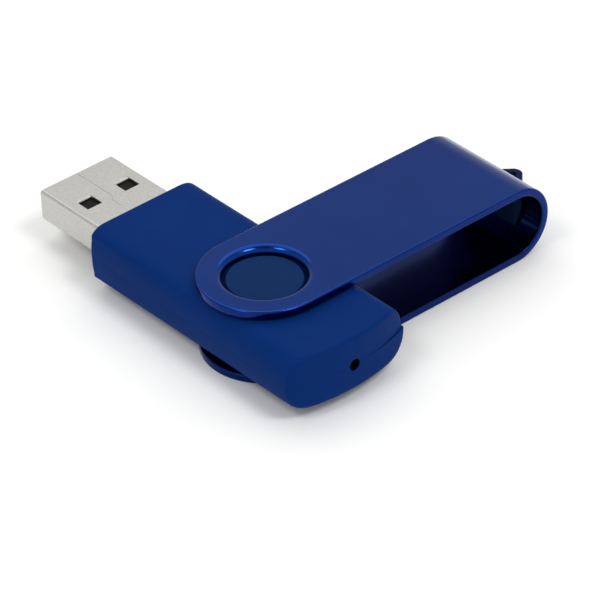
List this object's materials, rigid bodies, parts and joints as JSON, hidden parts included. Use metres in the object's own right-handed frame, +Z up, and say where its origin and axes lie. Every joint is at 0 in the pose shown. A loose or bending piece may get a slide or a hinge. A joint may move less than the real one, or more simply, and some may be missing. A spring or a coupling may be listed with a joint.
{
  "type": "usb flash drive",
  "caption": "Swivel USB flash drive: rounded navy plastic body, steel Type-A plug, and a folded metal clip that turns about the body and ends in a lanyard eye.",
  "frame": {"origin": "on the resting surface, under the middle of the footprint, with the clip swung 90.8 degrees from closed", "axes": "+X the way the plug points, +Z up through the thickness, -Y the way the clip points at rest"},
  "size_m": [0.0536, 0.0528, 0.0108],
  "materials": {
    "navy_plastic": "fine satin moulding",
    "navy_lacquer": "navy lacquer over sheet aluminium, semi-gloss",
    "plug_steel": "nickel-plated, satin",
    "black_plastic": "moulded",
    "gold_plate": "gold flash",
    "board_green": "solder mask",
    "chip_epoxy": "moulded epoxy",
    "crystal_can": "drawn can",
    "capacitor_ceramic": "sintered",
    "resistor_body": "glazed",
    "led_lens": "clear lens"
  },
  "bodies": {
    "drive": {"upper_shell": "navy_plastic", "lower_shell": "navy_plastic", "usb_plug_shell": "plug_steel", "plug_contact_block": "black_plastic", "circuit_board": "board_green", "flash_memory_chip": "chip_epoxy", "controller_chip": "chip_epoxy", "crystal": "crystal_can", "status_led": "led_lens", "contact_power": "gold_plate", "contact_data_minus": "gold_plate", "contact_data_plus": "gold_plate", "contact_ground": "gold_plate", "bypass_capacitor_1": "capacitor_ceramic", "bypass_capacitor_2": "capacitor_ceramic", "bypass_capacitor_3": "capacitor_ceramic", "crystal_capacitor_1": "capacitor_ceramic", "crystal_capacitor_2": "capacitor_ceramic", "data_resistor_1": "resistor_body", "data_resistor_2": "resistor_body", "led_resistor": "resistor_body"},
    "clip": {"swivel_clip": "navy_lacquer", "lanyard_loop": "navy_plastic"}
  },
  "joints": [
    {"name": "clip_swivel", "type": "hinge", "parent": "drive", "child": "clip", "pos_m": [-0.0105, 0.01702, 0.0054], "axis": [0, 0, 1], "continuous": true}
  ]
}
